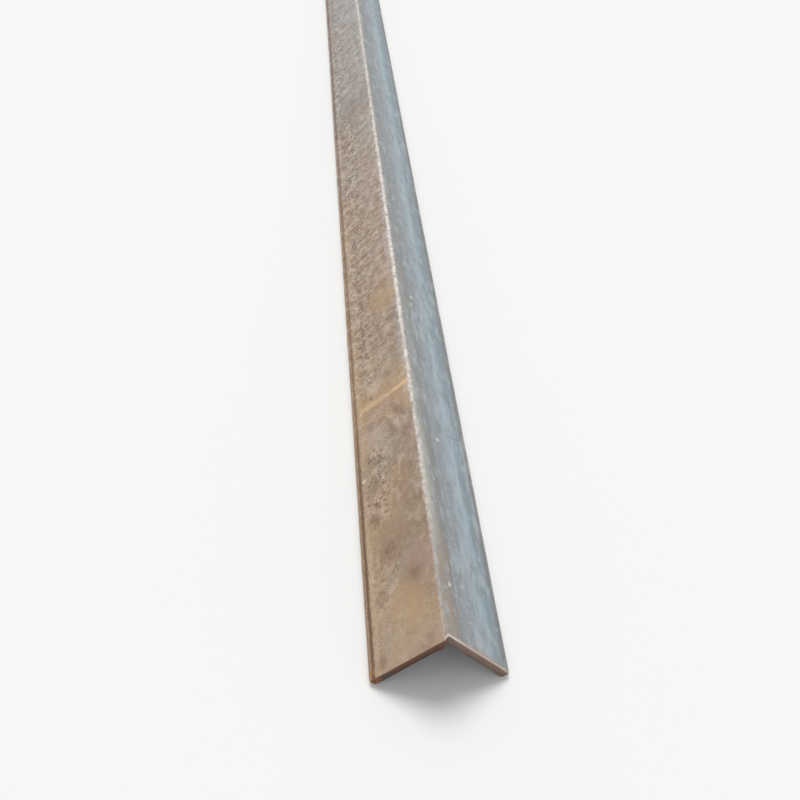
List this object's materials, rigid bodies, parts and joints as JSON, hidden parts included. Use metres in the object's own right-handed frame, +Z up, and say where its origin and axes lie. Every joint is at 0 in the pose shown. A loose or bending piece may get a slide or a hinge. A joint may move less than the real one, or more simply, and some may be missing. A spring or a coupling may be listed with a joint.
{
  "type": "equal-leg steel angle bar",
  "caption": "Hot-rolled equal-leg steel angle, a straight stock bar with square-cut ends, mill scale and light rust, lying heel up.",
  "frame": {"origin": "on the floor, midway between the two toes and midway along the bar", "axes": "+Y along the bar, away from the end seen in front; +Z up through the heel; +X across the bar, from one toe to the other"},
  "size_m": [0.0702, 6, 0.0376],
  "materials": {
    "hot_rolled_steel": "matte"
  },
  "bodies": {
    "root": {"angle_section": "hot_rolled_steel"}
  },
  "joints": []
}
